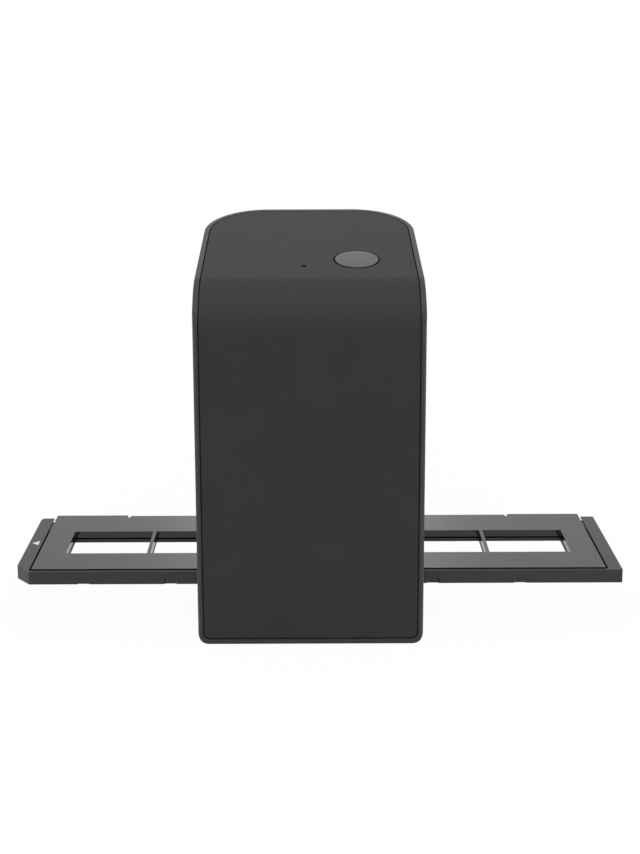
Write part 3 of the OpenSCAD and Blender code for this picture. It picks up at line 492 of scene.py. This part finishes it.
def make_holder_lid():
    """The hinged lid: a plate with the six windows, stepped and notched in its rear edge."""
    rear = lid_high[1]
    step_x = [LID_STEP_X + side * w / 2 for w in (NICK_W, NICK_FLOOR) for side in (-1, 1)]
    xs = [lid_low[0], *[-x for x in step_x], *window_x, *step_x, lid_high[0]]
    ys, zs = [lid_low[1], *window_y, rear], [lid_low[2], lid_high[2]]
    bm = cell_solid(xs, ys, zs, lambda x, y, z: not in_window(x, y))
    for vert in bm.verts:
        if near(vert.co.y, rear):
            if near(abs(abs(vert.co.x) - LID_STEP_X), NICK_FLOOR / 2):
                vert.co.y = rear - LID_STEP - NICK_D
            elif abs(vert.co.x) < LID_STEP_X:
                vert.co.y = rear - LID_STEP
    bevel(bm, upright_at(bm, [(lid_low[0], rear), (lid_high[0], rear)]), CORNER_R)
    bevel(bm, sharp_edges(bm), HOLDER_EDGE, 3)
    piece = finish_mesh("holder_cover", bm, "lid_plastic", "holder_lid")
    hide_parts("holder_lid")


ARROW_L, ARROW_W, ARROW_IN, ARROW_BACK = 3.1 * MM, 4.2 * MM, 1.5 * MM, 0.7 * MM
ARROW_SUNK, ARROW_OUT, ARROW_EDGE = 0.15 * MM, 0.03 * MM, 0.02 * MM


def make_arrow():
    """White arrow on the left tab, which shows the way into the scanner."""
    bm = bmesh.new()
    tip = base_low[0] + ARROW_IN
    middle = (base_low[1] + base_high[1]) / 2 + ARROW_BACK
    outline = [(tip, middle), (tip + ARROW_L, middle - ARROW_W / 2), (tip + ARROW_L, middle + ARROW_W / 2)]
    low = [bm.verts.new((x, y, base_high[2] - ARROW_SUNK)) for x, y in outline]
    high = [bm.verts.new((x, y, base_high[2] + ARROW_OUT)) for x, y in outline]
    bm.faces.new(high)
    bm.faces.new(low[::-1])
    for i in range(3):
        j = (i + 1) % 3
        bm.faces.new([low[i], low[j], high[j], high[i]])
    bm.normal_update()
    bevel(bm, sharp_edges(bm), ARROW_EDGE, 2)
    finish_mesh("arrow_mark", bm, "white_plastic", "film_holder")


# ---- Scan button ----

BUTTON_CROWN = 0.12 * MM
BUTTON_EDGE = 0.2 * MM
CROWN_RINGS, EDGE_RINGS = 6, 5
FLANGE_T = 0.8 * MM


def make_button():
    """The round button: a cap with a faint crown and a rounded edge, a flange, and the rod to the switch."""
    press = next(j for j in frame["record"]["behaviour"]["joints"] if j["name"] == "button_press")
    up = -Vector(press["axis"]).normalized()
    points = [v.co for v in nodes["scan_button"].data.vertices]
    top = max(p.dot(up) for p in points)
    rim = [p for p in points if near(p.dot(up), top)]
    middle = sum(rim, Vector()) / len(rim)
    depths = sorted({round(top - p.dot(up), 6) for p in points})
    radius = max((p - middle).length for p in rim)
    flange_depth = depths[-1]
    away = [((p - middle) - up * (p - middle).dot(up)).length for p in points]
    flange_r = max(away)
    under_flange = max(top - p.dot(up) for p, a in zip(points, away) if near(a, flange_r))
    rod_r = min(a for p, a in zip(points, away) if near(top - p.dot(up), flange_depth))
    rings = [(0, BUTTON_CROWN)]
    flat = radius - BUTTON_EDGE
    shares = [i / CROWN_RINGS for i in range(1, CROWN_RINGS + 1)]
    rings += [(flat * share, BUTTON_CROWN * (1 - share ** 2)) for share in shares]
    turns = [math.radians(90 * i / EDGE_RINGS) for i in range(1, EDGE_RINGS + 1)]
    rings += [(flat + BUTTON_EDGE * math.sin(a), BUTTON_EDGE * (math.cos(a) - 1)) for a in turns]
    rings += [(radius, -under_flange + FLANGE_T), (flange_r, -under_flange + FLANGE_T)]
    rings += [(flange_r, -under_flange), (rod_r, -under_flange), (rod_r, -flange_depth), (0, -flange_depth)]
    bm = bmesh.new()
    lathe(bm, [(r, h - BUTTON_CROWN) for r, h in rings])
    turn = Vector((0, 0, 1)).rotation_difference(up).to_matrix().to_4x4()
    bmesh.ops.transform(bm, matrix=Matrix.Translation(middle) @ turn, verts=bm.verts)
    piece = finish_mesh("button_cap", bm, "button_plastic", "scan_button")
    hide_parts("scan_button")


# ---- Feet ----

FOOT_EDGE = 0.35 * MM
FOOT_HOLLOW_R, FOOT_HOLLOW_D = 2.6 * MM, 0.3 * MM  # the hollow that grips the table


def make_feet():
    """Four rubber feet, rounded below, each with a shallow hollow."""
    points = [v.co for v in nodes["rubber_feet"].data.vertices]
    low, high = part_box("rubber_feet")
    middle = [(low[i] + high[i]) / 2 for i in range(2)]
    bm = bmesh.new()
    for right in (False, True):
        for back in (False, True):
            own = [p for p in points if (p.x > middle[0]) == right and (p.y > middle[1]) == back]
            ends = [(min(p[i] for p in own), max(p[i] for p in own)) for i in range(2)]
            radius = (ends[0][1] - ends[0][0]) / 2
            flat = radius - FOOT_EDGE
            rings = [(0, high[2]), (radius, high[2])]
            turns = [math.radians(90 * i / EDGE_RINGS) for i in range(EDGE_RINGS + 1)]
            rings += [(flat + FOOT_EDGE * math.cos(a), low[2] + FOOT_EDGE * (1 - math.sin(a))) for a in turns]
            rings += [(FOOT_HOLLOW_R, low[2]), (FOOT_HOLLOW_R - FOOT_HOLLOW_D, low[2] + FOOT_HOLLOW_D)]
            rings += [(0, low[2] + FOOT_HOLLOW_D)]
            verts = lathe(bm, rings, 64)
            bmesh.ops.translate(bm, verts=verts, vec=(sum(ends[0]) / 2, sum(ends[1]) / 2, 0))
    piece = finish_mesh("rubber_feet_shell", bm, "foot_rubber", "scanner")
    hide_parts("rubber_feet")


# ---- Stage and light ----

STAGE_FADE = (0.2, 0.6)  # metres from the object over which the floor turns to plain white
SEEN_WHITE = 0.96  # share of plain white in the floor near the object, as the camera sees it
MIRRORED_WHITE = 0.7  # the same in reflections
FLOOR_DROP = 0.1 * MM
FLOOR_HALF = 8
FLOOR_GREY = 0.85
WORLD_FILL = 0.25  # the world's strength as it lights a dull surface; it is white where it is seen
LAMPS = [  # name, place, aim, size, watts
    ("high_front_light", (0, -0.9, 1.3), (0, 0, 0.1), (1.2, 1.0), 11),
    ("left_light", (-1.3, -0.3, 0.6), (0, 0, 0.1), (0.9, 1.2), 3),
    ("right_light", (1.3, -0.3, 0.6), (0, 0, 0.1), (0.9, 1.2), 3.5),
    ("left_strip", (-1.1, -0.15, 0.25), (-0.1, 0, 0.03), (0.25, 0.5), 4),
    ("right_strip", (1.1, -0.15, 0.25), (0.1, 0, 0.03), (0.25, 0.5), 4),
    ("top_light", (0, -0.1, 1.4), (0, 0, 0.1), (1.4, 1.4), 7),
    ("rear_light", (0, 1.5, 0.68), (0, 0, 0.05), (0.35, 0.3), 1.2),
]


def pale(name):
    """Floor: white to the camera and in reflections, softly shaded near the object, and clear from below."""
    t = Tree(bpy.data.materials.new(name))
    path = t.add("ShaderNodeLightPath").outputs
    place = t.add("ShaderNodeTexCoord").outputs["Object"]
    far = t.add("ShaderNodeVectorMath", {0: place}, operation="LENGTH").outputs["Value"]
    seen = t.most(path["Is Camera Ray"], path["Is Transmission Ray"])
    seen = t.times(seen, t.spread(far, SEEN_WHITE, 1.0, *STAGE_FADE))
    mirrored = t.times(path["Is Glossy Ray"], t.spread(far, MIRRORED_WHITE, 1.0, *STAGE_FADE))
    dull = t.add("ShaderNodeBsdfDiffuse", {"Color": (FLOOR_GREY, FLOOR_GREY, FLOOR_GREY, 1)}).outputs[0]
    glow = t.add("ShaderNodeEmission", {"Color": (1, 1, 1, 1), "Strength": 1.0}).outputs[0]
    both = t.add("ShaderNodeMixShader", {0: t.most(seen, mirrored), 1: dull, 2: glow}).outputs[0]
    below = t.add("ShaderNodeNewGeometry").outputs["Backfacing"]
    clear = t.add("ShaderNodeBsdfTransparent").outputs[0]
    whole = t.add("ShaderNodeMixShader", {0: below, 1: both, 2: clear}).outputs[0]
    t.surface(whole)
    return bpy.data.materials[name]


def make_stage():
    mesh = bpy.data.meshes.new("floor")
    corners = [(-1, -1), (1, -1), (1, 1), (-1, 1)]
    mesh.from_pydata([(x * FLOOR_HALF, y * FLOOR_HALF, 0) for x, y in corners], [], [(0, 1, 2, 3)])
    floor = new_object("floor", mesh)
    floor.location.z = -FLOOR_DROP
    mesh.materials.append(pale("floor_look"))


def area_light(name, place, aim, size, power):
    data = bpy.data.lights.new(name, "AREA")
    data.shape = "RECTANGLE"
    data.size, data.size_y = size
    data.energy = power
    lamp = new_object(name, data)
    lamp.location = place
    lamp.rotation_euler = (Vector(aim) - Vector(place)).to_track_quat("-Z", "Y").to_euler()


def make_light():
    world = bpy.data.worlds.new("world")
    bpy.context.scene.world = world
    t = Tree(world)
    path = t.add("ShaderNodeLightPath").outputs
    sees = t.most(t.most(path["Is Camera Ray"], path["Is Transmission Ray"]), path["Is Glossy Ray"])
    strength = t.spread(sees, WORLD_FILL, 1.0)
    back = t.add("ShaderNodeBackground", {"Color": (1, 1, 1, 1), "Strength": strength})
    t.surface(back.outputs[0], "ShaderNodeOutputWorld")
    for lamp in LAMPS:
        area_light(*lamp)


make_camera()
make_materials()
for o in nodes.values():
    o.data.materials[0] = MATERIALS[o.data.materials[0].name]
model = whole_model_tree()
rounded_copy("housing", "shell_plastic", model, 2, HOUSING_EDGE)
rounded_copy("front_cover", "cover_plastic", model, 1, COVER_EDGE, crisp="light_pipe")
make_feet()
make_holder_base()
make_holder_lid()
make_arrow()
make_button()
make_stage()
make_light()
bpy.context.scene.view_settings.view_transform = "Standard"
